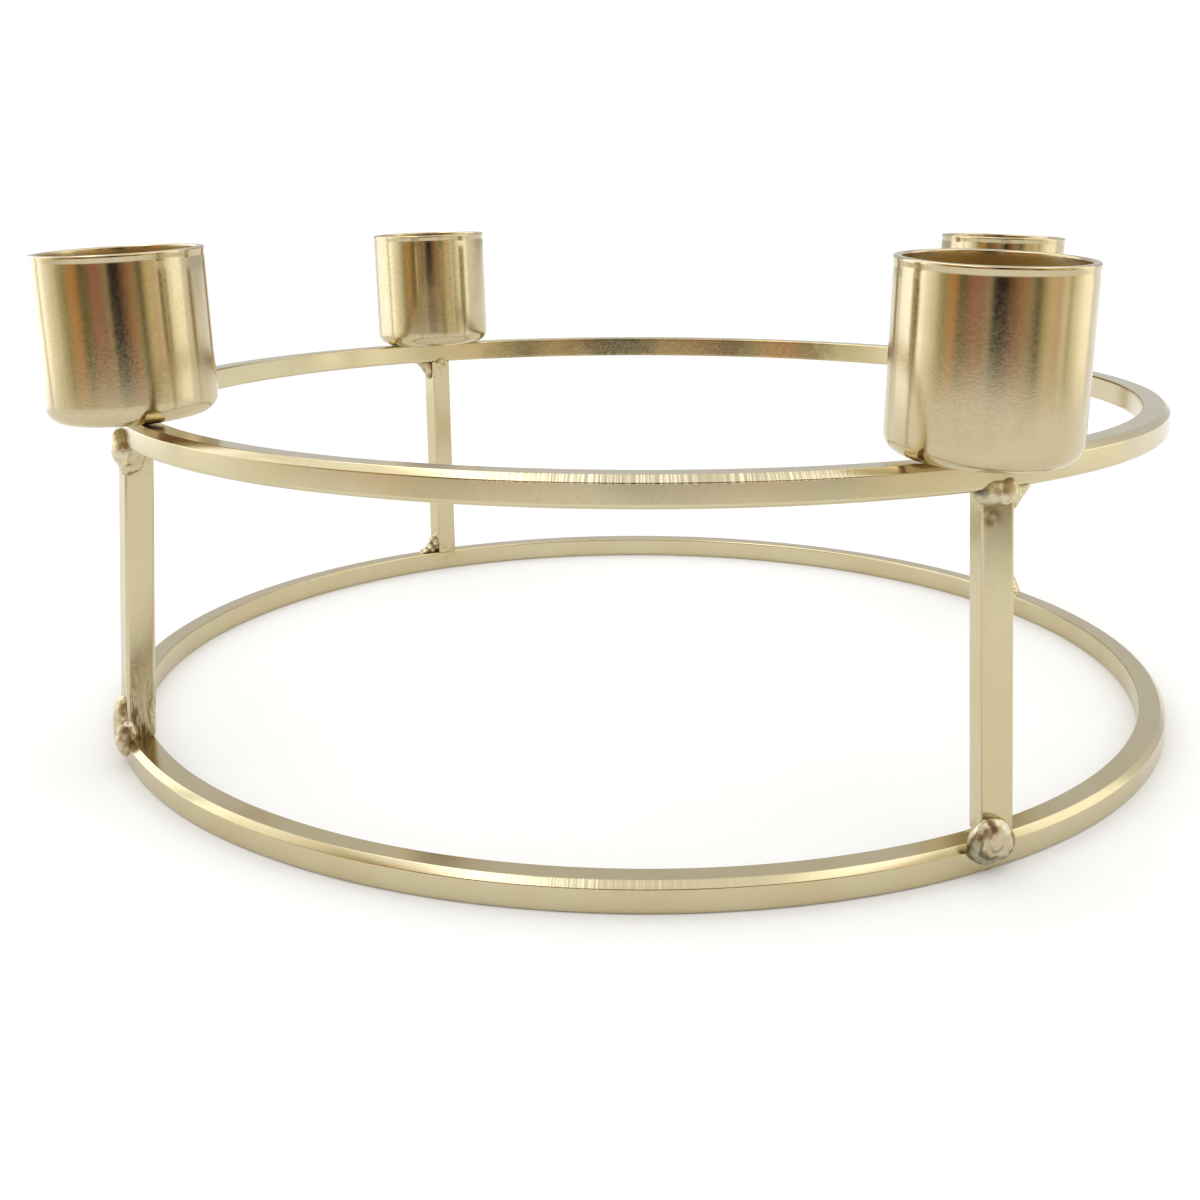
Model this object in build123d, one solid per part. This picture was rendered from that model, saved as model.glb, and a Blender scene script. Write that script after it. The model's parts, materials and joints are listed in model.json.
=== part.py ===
"""Wreath frame: two rings of square bar joined by four posts, with a candle cup over each post.

Lengths are in millimetres and angles in degrees. +Z is up and the origin is the middle of the lower
ring, on the surface that the frame stands on. +X points at the right post and +Y at the back post.
"""

import os
from dataclasses import dataclass
from math import cos, degrees, radians, sin

from build123d import *

# Square bar: the rings' bar has its edges eased more than the posts' bar
RING_BAR = 4.2
RING_BAR_EDGE = 0.7
POST_BAR = 4.4
POST_BAR_EDGE = 0.45

# Rings, by the radius of the bar's middle line
LOWER_RING_RADIUS = 90.0
UPPER_RING_RADIUS = 88.0

# Each ring is one length of bar whose ends are butt-welded together
SEAM_WIDTH = 1.2
LOWER_SEAM_AT = 269.0
UPPER_SEAM_AT = 344.0

# Posts stand between the rings
POST_LENGTH = 46.2
POST_FOOT_Z = RING_BAR
POST_HEAD_Z = POST_FOOT_Z + POST_LENGTH
UPPER_RING_TOP = POST_HEAD_Z + RING_BAR

# Candle cups
CUP_OUTSIDE = 12.5
CUP_HEIGHT = 25.0
CUP_WALL = 1.0
CUP_CORNER = 2.5
CUP_SEAT_GAP = 0.05

# The weld under a cup
CUP_WELD_LENGTH = 9.0
CUP_WELD_WIDTH = 3.6


@dataclass
class Bead:
    """A weld bead: an ellipsoid whose middle stands off the post's axis, and its half sizes."""

    out: float
    along: float
    half_out: float
    half_along: float
    half_up: float


@dataclass
class Station:
    """One post with the cup over it, as the welder left them: places are angles round from +X."""

    name: str
    foot_at: float
    head_at: float
    post_twist: float
    cup_at: float
    cup_lean_out: float
    cup_lean_along: float
    foot: Bead
    head: Bead


STATIONS = [
    Station(
        "right", foot_at=-1.0, head_at=-1.0, post_twist=0.0,
        cup_at=0.0, cup_lean_out=1.0, cup_lean_along=-1.8,
        foot=Bead(out=0.0, along=-2.2, half_out=1.7, half_along=3.4, half_up=3.6),
        head=Bead(out=0.0, along=-2.2, half_out=1.7, half_along=2.6, half_up=2.8),
    ),
    Station(
        "back", foot_at=91.0, head_at=92.0, post_twist=5.0,
        cup_at=92.4, cup_lean_out=0.0, cup_lean_along=2.0,
        foot=Bead(out=0.0, along=2.2, half_out=1.8, half_along=2.8, half_up=3.8),
        head=Bead(out=0.0, along=2.2, half_out=1.8, half_along=2.8, half_up=3.2),
    ),
    Station(
        "left", foot_at=178.0, head_at=178.0, post_twist=3.5,
        cup_at=178.5, cup_lean_out=3.2, cup_lean_along=0.7,
        foot=Bead(out=2.3, along=1.2, half_out=2.0, half_along=2.8, half_up=3.4),
        head=Bead(out=1.9, along=0.8, half_out=1.9, half_along=3.4, half_up=3.8),
    ),
    Station(
        "front", foot_at=270.4, head_at=270.2, post_twist=-22.0,
        cup_at=268.9, cup_lean_out=3.4, cup_lean_along=-0.5,
        foot=Bead(out=1.9, along=-0.9, half_out=2.1, half_along=3.6, half_up=3.6),
        head=Bead(out=1.3, along=1.2, half_out=2.3, half_along=3.1, half_up=3.4),
    ),
]


def place(at, radius, z):
    """A frame on the ring: +X points outward, +Y along the ring and +Z up."""
    return Location((radius * cos(radians(at)), radius * sin(radians(at)), z), (0, 0, at))


def ring_with_seam(middle_radius, bottom_z, seam_at):
    """A ring of bar as an open hoop, and the butt weld that closes it."""
    seam_angle = degrees(SEAM_WIDTH / middle_radius)
    bar = RectangleRounded(RING_BAR, RING_BAR, RING_BAR_EDGE)
    section = Plane.XZ * Pos(middle_radius, bottom_z + RING_BAR / 2) * bar
    hoop = revolve(section, Axis.Z, 360 - seam_angle)
    seam = revolve(section, Axis.Z, seam_angle)
    return Rot(0, 0, seam_at + seam_angle / 2) * hoop, Rot(0, 0, seam_at - seam_angle / 2) * seam


def post(station):
    """A post from its place on the lower ring to its place on the upper ring, mitred at both ends."""
    foot = place(station.foot_at, LOWER_RING_RADIUS, POST_FOOT_Z)
    head = place(station.head_at, UPPER_RING_RADIUS, POST_HEAD_Z)
    section = Rot(0, 0, station.post_twist) * RectangleRounded(POST_BAR, POST_BAR, POST_BAR_EDGE)
    climb = (foot.inverse() * head).position
    return foot * extrude(section, climb.length, dir=climb)


def post_weld(bead, at, middle_radius, z, bars):
    """A bead at one end of a post, cut back to the faces of the bars that it joins."""
    blob = scale(Sphere(1), (bead.half_out, bead.half_along, bead.half_up))
    return place(at, middle_radius, z) * Pos(bead.out, bead.along, 0) * blob - bars


def cup_frame(station):
    """The frame of a cup: its origin is the middle of the cup's underside and +Z its own axis."""
    base_radius = CUP_OUTSIDE - CUP_CORNER
    lift = base_radius * sin(radians(abs(station.cup_lean_along)))
    lift += RING_BAR / 2 * sin(radians(abs(station.cup_lean_out))) + CUP_SEAT_GAP
    lean = Rot(-station.cup_lean_along, station.cup_lean_out, 0)
    return place(station.cup_at, UPPER_RING_RADIUS, UPPER_RING_TOP + lift) * lean


def cup_envelope():
    """The cup's outside, filled in."""
    body = Cylinder(CUP_OUTSIDE, CUP_HEIGHT, align=(Align.CENTER, Align.CENTER, Align.MIN))
    return fillet(body.edges().sort_by(Axis.Z)[0], CUP_CORNER)


def candle_cup():
    """A drawn cup, open at the top, with a rolled rim."""
    inside = CUP_OUTSIDE - CUP_WALL
    depth = CUP_HEIGHT - CUP_WALL
    hollow = Pos(0, 0, CUP_WALL) * Cylinder(inside, depth, align=(Align.CENTER, Align.CENTER, Align.MIN))
    hollow = fillet(hollow.edges().sort_by(Axis.Z)[0], CUP_CORNER - CUP_WALL)
    cup = cup_envelope() - hollow
    rim_edges = cup.edges().filter_by_position(Axis.Z, CUP_HEIGHT - 0.01, CUP_HEIGHT + 0.01)
    return fillet(rim_edges, CUP_WALL * 0.45)


def cup_weld(station, envelope):
    """The weld between a cup's underside and the upper ring, under the middle of the cup."""
    block_height = CUP_CORNER
    pad = extrude(SlotOverall(CUP_WELD_LENGTH, CUP_WELD_WIDTH, rotation=90), block_height)
    return place(station.cup_at, UPPER_RING_RADIUS, UPPER_RING_TOP) * pad - envelope


def build():
    """Every piece, by its node's name."""
    lower_ring, lower_seam = ring_with_seam(LOWER_RING_RADIUS, 0, LOWER_SEAM_AT)
    upper_ring, upper_seam = ring_with_seam(UPPER_RING_RADIUS, POST_HEAD_Z, UPPER_SEAM_AT)
    pieces = {
        "lower_ring": lower_ring,
        "lower_ring_seam_weld": lower_seam,
        "upper_ring": upper_ring,
        "upper_ring_seam_weld": upper_seam,
    }
    lower_bars = [lower_ring, lower_seam]
    upper_bars = [upper_ring, upper_seam]
    for station in STATIONS:
        name = station.name
        bar = post(station)
        at_cup = cup_frame(station)
        pieces[f"post_{name}"] = bar
        pieces[f"post_foot_weld_{name}"] = post_weld(
            station.foot, station.foot_at, LOWER_RING_RADIUS, POST_FOOT_Z, [bar, *lower_bars]
        )
        pieces[f"post_head_weld_{name}"] = post_weld(
            station.head, station.head_at, UPPER_RING_RADIUS, POST_HEAD_Z, [bar, *upper_bars]
        )
        pieces[f"candle_cup_{name}"] = at_cup * candle_cup()
        pieces[f"cup_weld_{name}"] = cup_weld(station, at_cup * cup_envelope())
    return pieces


os.makedirs("parts", exist_ok=True)
for node, piece in build().items():
    export_step(piece, f"parts/{node}.step")
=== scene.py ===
"""Wreath frame: the looks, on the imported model's frame.

Everything is in metres in the row frame: +Z up, the frame standing on z = 0, +X towards the right post
and +Y towards the back post. Most sizes below are written in millimetres and multiplied by MM.
"""

import json
from dataclasses import dataclass, field
from math import atan2, cos, pi, radians, sin, tau

import bmesh
import bpy
from mathutils import Matrix, Vector, noise


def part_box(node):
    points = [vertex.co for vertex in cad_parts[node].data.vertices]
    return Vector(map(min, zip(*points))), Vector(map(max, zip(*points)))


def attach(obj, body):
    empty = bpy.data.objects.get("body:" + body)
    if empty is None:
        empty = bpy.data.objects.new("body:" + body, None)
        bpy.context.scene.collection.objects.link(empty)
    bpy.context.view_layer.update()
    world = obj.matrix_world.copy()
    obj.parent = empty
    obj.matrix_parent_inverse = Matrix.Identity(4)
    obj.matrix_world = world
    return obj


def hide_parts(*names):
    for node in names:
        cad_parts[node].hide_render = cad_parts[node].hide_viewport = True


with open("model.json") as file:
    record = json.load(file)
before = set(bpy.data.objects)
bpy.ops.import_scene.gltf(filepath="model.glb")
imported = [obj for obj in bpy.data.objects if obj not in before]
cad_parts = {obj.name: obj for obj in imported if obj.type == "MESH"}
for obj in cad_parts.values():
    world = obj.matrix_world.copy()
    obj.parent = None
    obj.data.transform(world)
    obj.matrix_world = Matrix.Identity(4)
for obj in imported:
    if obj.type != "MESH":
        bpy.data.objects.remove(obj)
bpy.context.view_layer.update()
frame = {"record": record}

MM = 0.001


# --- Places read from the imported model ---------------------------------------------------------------


def box_middle(node):
    """The middle of a CAD node's box."""
    low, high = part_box(node)
    return (Vector(low) + Vector(high)) / 2


def angle_of(point):
    """The angle round the frame's axis of a point, in radians from +X."""
    return atan2(point[1], point[0])


@dataclass
class Ring:
    """A ring's middle radius and the heights of its underside and top, and its seam's angle."""

    node: str
    middle: float
    low: float
    high: float
    seam_at: float


def ring_from(node, bar):
    """A ring's measures, from its box and its seam's box."""
    low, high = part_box(node)
    outside = (high[0] - low[0]) / 2
    seam_at = angle_of(box_middle(f"{node}_seam_weld"))
    return Ring(node, outside - bar / 2, low[2], high[2], seam_at)


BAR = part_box("lower_ring")[1][2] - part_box("lower_ring")[0][2]
LOWER = ring_from("lower_ring", BAR)
UPPER = ring_from("upper_ring", BAR)
STATION_NAMES = ("right", "back", "left", "front")

# Where each post stands on the two rings and how far it is turned, in degrees, as in the CAD
FOOT_AT = {"right": -1.0, "back": 91.0, "left": 178.0, "front": 270.4}
HEAD_AT = {"right": -1.0, "back": 92.0, "left": 178.0, "front": 270.2}
POST_TWIST = {"right": 0.0, "back": 5.0, "left": 3.5, "front": -22.0}


def place(at, radius, z):
    """A frame on the ring: +X points outward, +Y along the ring and +Z up."""
    return Matrix.Translation((radius * cos(at), radius * sin(at), z)) @ Matrix.Rotation(at, 4, "Z")


def foot_place(name):
    """The middle of a post's foot, on the lower ring's top."""
    return place(radians(FOOT_AT[name]), LOWER.middle, LOWER.high)


def head_place(name):
    """The middle of a post's head, on the upper ring's underside."""
    return place(radians(HEAD_AT[name]), UPPER.middle, UPPER.low)


# From a cup's underside up to the middle of its candle mount
CUP_MOUNT_HEIGHT = 13.525 * MM


def cup_place(name):
    """The middle of a cup's underside, with +Z along the cup's axis, from its candle mount."""
    mounts = {mount["name"]: mount for mount in frame["record"]["mounts"]}
    mount = mounts[f"candle_{name}"]
    up = Vector(mount["axis"]).normalized()
    base = Vector(mount["pos_m"]) - up * CUP_MOUNT_HEIGHT
    out = Vector((base.x, base.y, 0)).normalized()
    along = up.cross(out).normalized()
    out = along.cross(up)
    axes = Matrix((out, along, up)).transposed().to_4x4()
    return Matrix.Translation(base) @ axes


# --- Node graphs ---------------------------------------------------------------------------------------


class Graph:
    """A node tree with short calls that add and link nodes."""

    def __init__(self, tree):
        self.tree = tree
        tree.nodes.clear()

    def add(self, kind, inputs=None, **settings):
        node = self.tree.nodes.new("ShaderNode" + kind)
        for name, value in settings.items():
            setattr(node, name, value)
        for socket, value in (inputs or {}).items():
            self.feed(node.inputs[socket], value)
        return node

    def feed(self, socket, value):
        if isinstance(value, bpy.types.NodeSocket):
            self.tree.links.new(value, socket)
        else:
            socket.default_value = value

    def math(self, operation, first, second=0.0, third=0.0):
        return self.add("Math", {0: first, 1: second, 2: third}, operation=operation).outputs[0]

    def remap(self, value, low, high, to_low=0.0, to_high=1.0):
        inputs = {0: value, 1: low, 2: high, 3: to_low, 4: to_high}
        return self.add("MapRange", inputs, interpolation_type="SMOOTHSTEP").outputs[0]

    def noise(self, vector, size, detail=2.0, roughness=0.5, distortion=0.0):
        """Noise whose blotches are about size across, in the vector's own unit."""
        inputs = {
            "Vector": vector,
            "Scale": 1 / size,
            "Detail": detail,
            "Roughness": roughness,
            "Distortion": distortion,
        }
        return self.add("TexNoise", inputs).outputs[0]

    def mix(self, factor, first, second, blend="MIX"):
        node = self.add("Mix", data_type="RGBA", blend_type=blend)
        for index, value in ((0, factor), (6, first), (7, second)):
            self.feed(node.inputs[index], value)
        return node.outputs[2]

    def ramp(self, value, stops):
        """A colour ramp: stops are (position, colour) in rising order."""
        node = self.add("ValToRGB", {0: value})
        elements = node.color_ramp.elements
        elements[0].position, elements[0].color = stops[0][0], (*stops[0][1], 1)
        elements[1].position, elements[1].color = stops[-1][0], (*stops[-1][1], 1)
        for position, colour in stops[1:-1]:
            elements.new(position).color = (*colour, 1)
        return node.outputs[0]

    def grey(self, level):
        return self.add("CombineColor", {0: level, 1: level, 2: level}).outputs[0]

    def attribute(self, name):
        return self.add("Attribute", attribute_name=name).outputs["Fac"]

    def object_point(self):
        return self.add("TexCoord").outputs["Object"]

    def near(self, point, centre, inner, outer):
        """1 within inner of a centre, falling to 0 at outer."""
        inputs = {0: point, 1: tuple(centre)}
        distance = self.add("VectorMath", inputs, operation="DISTANCE").outputs["Value"]
        return self.remap(distance, inner, outer, 1.0, 0.0)

    def stretched(self, point, scale):
        return self.add("VectorMath", {0: point, 1: scale}, operation="MULTIPLY").outputs[0]

    def bump(self, height, depth, normal=None):
        """A bump whose height of 1 stands up by depth."""
        inputs = {"Height": height, "Distance": depth, "Strength": 1.0}
        if normal is not None:
            inputs["Normal"] = normal
        return self.add("Bump", inputs).outputs[0]


def new_material(name):
    """A material with an empty graph."""
    material = bpy.data.materials.new(name)
    material.use_nodes = True
    return material, Graph(material.node_tree)


def metal_output(graph, colour, roughness, normal):
    """The shader of a bare or plated metal."""
    shader = graph.add("BsdfPrincipled", {"Base Color": colour, "Roughness": roughness, "Normal": normal})
    shader.inputs["Metallic"].default_value = 1.0
    graph.add("OutputMaterial", {"Surface": shader.outputs[0]})


# --- Materials -----------------------------------------------------------------------------------------

# Colours are linear
PLATING = (0.605, 0.530, 0.345)
PLATING_DEEPER = (0.580, 0.495, 0.300)
CUP_PLATING = (0.575, 0.490, 0.315)
CUP_PLATING_DEEPER = (0.540, 0.450, 0.275)
CUP_SPECK = (0.34, 0.30, 0.15)
# Painted ochre of light bounced round between the cup's gold walls
CUP_INSIDE_BOUNCE_OCHRE = (0.560, 0.400, 0.150)
# Painted highlight on the welds' lumps
CREAM_HIGHLIGHT = (0.68, 0.62, 0.48)
PINK_TINT = (0.50, 0.39, 0.28)
STRAW_TINT = (0.45, 0.345, 0.175)
# Ochre heat colour, and painted shade in the welds' creases and under the cups
OCHRE_HEAT_AND_SHADE = (0.40, 0.285, 0.105)
# Painted shade in the welds' hollows
GREEN_GREY_SHADE = (0.40, 0.385, 0.28)
SLAG_GREY = (0.27, 0.25, 0.20)
# Brown heat colour round welds, and painted shade in the welds' creases
BROWN_HEAT_AND_SHADE = (0.20, 0.125, 0.065)
# Painted shade in the welds' hollows
OLIVE_SHADE = (0.14, 0.115, 0.055)
BURNT_RED = (0.10, 0.042, 0.022)
# Painted deep shade in the welds' creases and under the cups
DEEP_SHADE = (0.045, 0.032, 0.024)
MARK_DULL = (0.43, 0.37, 0.25)
# Painted glint on the tool marks
TOOL_MARK_GLINT = (0.86, 0.80, 0.62)
POST_STAIN = (0.13, 0.095, 0.045)
SEAM_YELLOW = (0.50, 0.37, 0.14)
BOARD = (0.905, 0.905, 0.90)
BOARD_DARKER = (0.885, 0.885, 0.88)
TABLE_GLOW = (0.55, 0.50, 0.36)


def darkened_round_welds(graph, point, colour, spots):
    """The colour darkened towards straw and brown in broken patches round each weld: heat colour, and at
    two spots painted reflection and painted shadow.
    """
    flecks = graph.noise(point, 1.4 * MM, detail=5.0, roughness=0.65)
    for centre, reach, amount in spots:
        near = graph.near(point, centre, reach * 0.45, reach)
        broken = graph.math("MULTIPLY", near, graph.remap(flecks, 0.38, 0.66))
        straw = graph.math("MULTIPLY", broken, amount)
        brown = graph.math("MULTIPLY", graph.near(point, centre, reach * 0.25, reach * 0.7), broken)
        colour = graph.mix(straw, colour, (*STRAW_TINT, 1))
        colour = graph.mix(graph.math("MULTIPLY", brown, amount * 0.8), colour, (*BROWN_HEAT_AND_SHADE, 1))
    return colour


def satin_normal(graph, point, grain_depth, wave_depth):
    """Fine satin grain over a slow unevenness of the bar."""
    wave = graph.bump(graph.noise(point, 12 * MM, detail=1.0), wave_depth)
    return graph.bump(graph.noise(point, 0.34 * MM, detail=3.0, roughness=0.7), grain_depth, wave)


BAR_ROUGHNESS = (0.15, 0.20)
BAR_GRAIN = 0.0018 * MM
BAR_WAVE = 0.05 * MM
INNER_MOTTLE = 0.018 * MM
MARK_HEIGHT = 0.02 * MM
MARK_FADE = radians(5)
STAIN_PIT = 0.04 * MM


def bar_colour(graph, point):
    """Champagne plating with a faint drift in its depth of colour."""
    drift = graph.noise(point, 14 * MM, detail=3.0)
    return graph.mix(graph.remap(drift, 0.35, 0.7), (*PLATING, 1), (*PLATING_DEEPER, 1))


def bar_roughness(graph, point):
    """Satin roughness that varies a little with the grain."""
    grain = graph.noise(point, 0.6 * MM, detail=4.0, roughness=0.7)
    return graph.remap(grain, 0.3, 0.7, *BAR_ROUGHNESS)


# Painted reflections of the room's streaks along the upper ring's inner face, as (turn in degrees, share of
# the plating's colour)
INNER_FACE_REFLECTIONS = [
    (18, (1.0, 1.0, 1.0)),
    (27, (0.90, 0.93, 0.78)),
    (31, (0.48, 0.43, 0.30)),
    (34, (0.66, 0.48, 0.33)),
    (38, (0.88, 0.60, 0.40)),
    (42, (0.50, 0.50, 0.30)),
    (44, (0.32, 0.26, 0.18)),
    (49, (0.60, 0.46, 0.32)),
    (56, (0.66, 0.50, 0.33)),
    (60, (0.32, 0.30, 0.19)),
    (65, (0.22, 0.21, 0.14)),
    (69, (0.58, 0.46, 0.31)),
    (73, (0.82, 0.66, 0.42)),
    (78, (0.40, 0.38, 0.25)),
    (81, (0.52, 0.48, 0.32)),
    (87, (0.95, 0.90, 0.75)),
    (94, (1.0, 1.0, 1.0)),
]


def with_painted_reflections(graph, point, turn, colour, amount):
    """The colour darkened in broken patches of painted reflection on the face towards the middle of the
    ring.
    """
    first, last = INNER_FACE_REFLECTIONS[0][0], INNER_FACE_REFLECTIONS[-1][0]
    wander = graph.noise(point, 3 * MM, detail=4.0, roughness=0.7)
    degrees_round = graph.math("MULTIPLY", turn, 180 / pi)
    degrees_round = graph.math("ADD", degrees_round, graph.remap(wander, 0.3, 0.7, -1.5, 1.5))
    share = graph.math("DIVIDE", graph.math("SUBTRACT", degrees_round, first), last - first)
    patches = graph.ramp(share, [((at - first) / (last - first), tint) for at, tint in INNER_FACE_REFLECTIONS])
    grain = graph.noise(point, 0.5 * MM, detail=3.0, roughness=0.7)
    broken = graph.remap(grain, 0.3, 0.7, 0.5 * amount, amount)
    broken = graph.math("MULTIPLY", broken, graph.attribute("inner"))
    return graph.mix(broken, colour, patches, "MULTIPLY")


@dataclass
class Marks:
    """Crosswise tool marks, with painted glints, along part of a ring's upper outer edge, from one turn in
    degrees to another.
    """

    start: float
    end: float
    strength: float


def ring_material(name, spots, marks, painted_reflection=0.0):
    """Satin plated bar with tool marks painted bright as glints, and with painted reflections, from 0 to 1,
    on its inner face.
    """
    material, graph = new_material(name)
    point = graph.object_point()
    colour = darkened_round_welds(graph, point, bar_colour(graph, point), spots)

    axes = graph.add("SeparateXYZ", {0: point})
    turn = graph.math("ARCTAN2", axes.outputs[1], axes.outputs[0])
    # Patches of painted reflection on the inner face
    if painted_reflection:
        colour = with_painted_reflections(graph, point, turn, colour, painted_reflection)
    arc = graph.math("MULTIPLY", turn, UPPER.middle)
    across = graph.add("CombineXYZ", {0: arc}).outputs[0]
    ticks = graph.remap(graph.noise(across, 0.55 * MM, detail=3.0, roughness=0.8), 0.46, 0.60)
    groups = graph.remap(graph.noise(across, 5 * MM, detail=1.0), 0.32, 0.62, 0.25, 1.0)
    start, end = radians(marks.start), radians(marks.end)
    past_start = graph.remap(turn, start - MARK_FADE, start + MARK_FADE)
    before_end = graph.remap(turn, end - MARK_FADE, end + MARK_FADE, 1.0, 0.0)
    between = graph.math("MULTIPLY", past_start, before_end)
    here = graph.math("MULTIPLY_ADD", between, marks.strength, 0.05)
    here = graph.math("MULTIPLY", here, graph.attribute("edge"))
    marked = graph.math("MULTIPLY", graph.math("MULTIPLY", ticks, groups), here)
    colour = graph.mix(graph.math("MULTIPLY", here, 0.35), colour, (*MARK_DULL, 1))
    # The tool marks painted bright as glints off their facets
    colour = graph.mix(marked, colour, (*TOOL_MARK_GLINT, 1))

    roughness = bar_roughness(graph, point)
    normal = satin_normal(graph, point, BAR_GRAIN, BAR_WAVE)
    mottle = graph.noise(point, 4.5 * MM, detail=3.0, distortion=0.8)
    mottle = graph.math("MULTIPLY", mottle, graph.attribute("inner"))
    normal = graph.bump(mottle, INNER_MOTTLE, normal)
    normal = graph.bump(marked, MARK_HEIGHT, normal)
    metal_output(graph, colour, roughness, normal)
    return material


def post_material(name, spots, stain_to=0.0):
    """Satin plated bar; stain_to is how far above the table dark, pitted streaks reach, or 0 for none."""
    material, graph = new_material(name)
    point = graph.object_point()
    colour = darkened_round_welds(graph, point, bar_colour(graph, point), spots)
    roughness = bar_roughness(graph, point)
    normal = satin_normal(graph, point, BAR_GRAIN, BAR_WAVE)
    if stain_to:
        streaks = graph.noise(graph.stretched(point, (1, 1, 0.22)), 0.8 * MM, detail=5.0, roughness=0.7)
        height = graph.add("SeparateXYZ", {0: point}).outputs[2]
        low = graph.remap(height, stain_to * 0.35, stain_to, 1.0, 0.0)
        stain = graph.math("MULTIPLY", graph.remap(streaks, 0.44, 0.60), low)
        stain = graph.math("MULTIPLY", stain, 0.8)
        colour = graph.mix(stain, colour, (*POST_STAIN, 1))
        roughness = graph.math("ADD", roughness, graph.math("MULTIPLY", stain, 0.2))
        normal = graph.bump(graph.math("SUBTRACT", 1.0, stain), STAIN_PIT, normal)
    metal_output(graph, colour, roughness, normal)
    return material


CUP_ROUGHNESS = (0.11, 0.17)
CUP_INSIDE_ROUGHER = 0.28
CUP_DRAW_LINES = 0.002 * MM
CUP_SPARKLE = 0.0042 * MM

# How strongly each cup is speckled
CUP_SPECKLE = {"right": 0.42, "back": 0.42, "left": 0.20, "front": 0.04}


def cup_material(name, speckle):
    """Smoother plating on drawn sheet, with a fine sparkle, dark specks and faint marks up the wall."""
    material, graph = new_material(name)
    point = graph.object_point()
    drift = graph.noise(point, 6 * MM, detail=3.0)
    colour = graph.mix(graph.remap(drift, 0.3, 0.7), (*CUP_PLATING, 1), (*CUP_PLATING_DEEPER, 1))
    # Painted ochre of bounced light on the inside
    colour = graph.mix(graph.attribute("inside"), colour, (*CUP_INSIDE_BOUNCE_OCHRE, 1))
    specks = graph.remap(graph.noise(point, 0.42 * MM, detail=3.0, roughness=0.75), 0.36, 0.56)
    specks = graph.math("MULTIPLY_ADD", specks, -speckle, speckle)
    colour = graph.mix(specks, colour, (*CUP_SPECK, 1))
    grain = graph.noise(point, 0.45 * MM, detail=4.0, roughness=0.7)
    roughness = graph.remap(grain, 0.3, 0.7, *CUP_ROUGHNESS)
    roughness = graph.math("MULTIPLY_ADD", graph.attribute("inside"), CUP_INSIDE_ROUGHER, roughness)
    drawn = graph.noise(graph.stretched(point, (1, 1, 0.06)), 0.8 * MM, detail=3.0)
    sparkle = graph.noise(point, 0.36 * MM, detail=3.0, roughness=0.7)
    normal = graph.bump(sparkle, CUP_SPARKLE, graph.bump(drawn, CUP_DRAW_LINES))
    metal_output(graph, colour, roughness, normal)
    return material


WELD_FLECKS = 0.03 * MM
WELD_GRAIN = 0.006 * MM


def weld_material(name):
    """Plated weld metal in the colours of the tint attribute, rougher where it is dark."""
    material, graph = new_material(name)
    point = graph.object_point()
    tint = graph.add("Attribute", attribute_name="tint").outputs["Color"]
    flecks = graph.noise(point, 0.8 * MM, detail=5.0, roughness=0.65)
    shade = graph.remap(flecks, 0.3, 0.7, 0.80, 1.12)
    colour = graph.mix(1.0, tint, graph.grey(shade), "MULTIPLY")
    light = graph.add("RGBToBW", {0: tint}).outputs[0]
    roughness = graph.remap(light, 0.05, 0.5, 0.45, 0.30)
    grain = graph.noise(point, 0.3 * MM, detail=3.0, roughness=0.7)
    normal = graph.bump(grain, WELD_GRAIN, graph.bump(flecks, WELD_FLECKS))
    metal_output(graph, colour, roughness, normal)
    return material


SEAM_ROUGHNESS = (0.26, 0.40)
SEAM_SCRATCHES = 0.03 * MM


def seam_material(name):
    """The ground butt weld of a ring: a little yellower, with grinding lines along the bar."""
    material, graph = new_material(name)
    point = graph.object_point()
    patches = graph.noise(point, 1.3 * MM, detail=4.0)
    colour = graph.mix(graph.remap(patches, 0.35, 0.65), (*PLATING_DEEPER, 1), (*SEAM_YELLOW, 1))
    scratches = graph.noise(graph.stretched(point, (1, 1, 8)), 2.0 * MM, detail=4.0, roughness=0.7)
    roughness = graph.remap(scratches, 0.3, 0.7, *SEAM_ROUGHNESS)
    metal_output(graph, colour, roughness, graph.bump(scratches, SEAM_SCRATCHES))
    return material


BOARD_TOOTH = 0.03 * MM


def floor_material():
    """White studio board with a barely visible tooth."""
    material, graph = new_material("studio_board")
    point = graph.object_point()
    tooth = graph.noise(point, 1.5 * MM, detail=4.0)
    clouds = graph.noise(point, 160 * MM, detail=2.0)
    colour = graph.mix(graph.remap(clouds, 0.3, 0.7), (*BOARD, 1), (*BOARD_DARKER, 1))
    inputs = {"Base Color": colour, "Normal": graph.bump(tooth, BOARD_TOOTH)}
    shader = graph.add("BsdfPrincipled", inputs)
    shader.inputs["Roughness"].default_value = 0.9
    shader.inputs["Specular IOR Level"].default_value = 0.0
    graph.add("OutputMaterial", {"Surface": shader.outputs[0]})
    return material


# --- Mesh helpers ----------------------------------------------------------------------------------------


SHARP_FROM = radians(50)
BEVEL_STEPS = 5
CORNER_STEPS = 7
FLAT_STEPS = 8


def add_object(name, mesh, material, node):
    """A finished piece in the scene, standing for its CAD node."""
    mesh.materials.append(material)
    for polygon in mesh.polygons:
        polygon.use_smooth = True
    mesh.set_sharp_from_angle(angle=SHARP_FROM)
    piece = bpy.data.objects.new(name, mesh)
    bpy.context.scene.collection.objects.link(piece)
    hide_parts(node)
    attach(piece, "root")
    return piece


def set_attribute(mesh, name, values):
    """A number for every vertex."""
    layer = mesh.attributes.new(name, "FLOAT", "POINT")
    layer.data.foreach_set("value", values)


def corner_arc(centre, radius, start, end, steps):
    """Points round part of a corner, angles in radians."""
    angles = [start + (end - start) * step / steps for step in range(steps + 1)]
    return [centre + radius * Vector((cos(angle), sin(angle))) for angle in angles]


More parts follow.
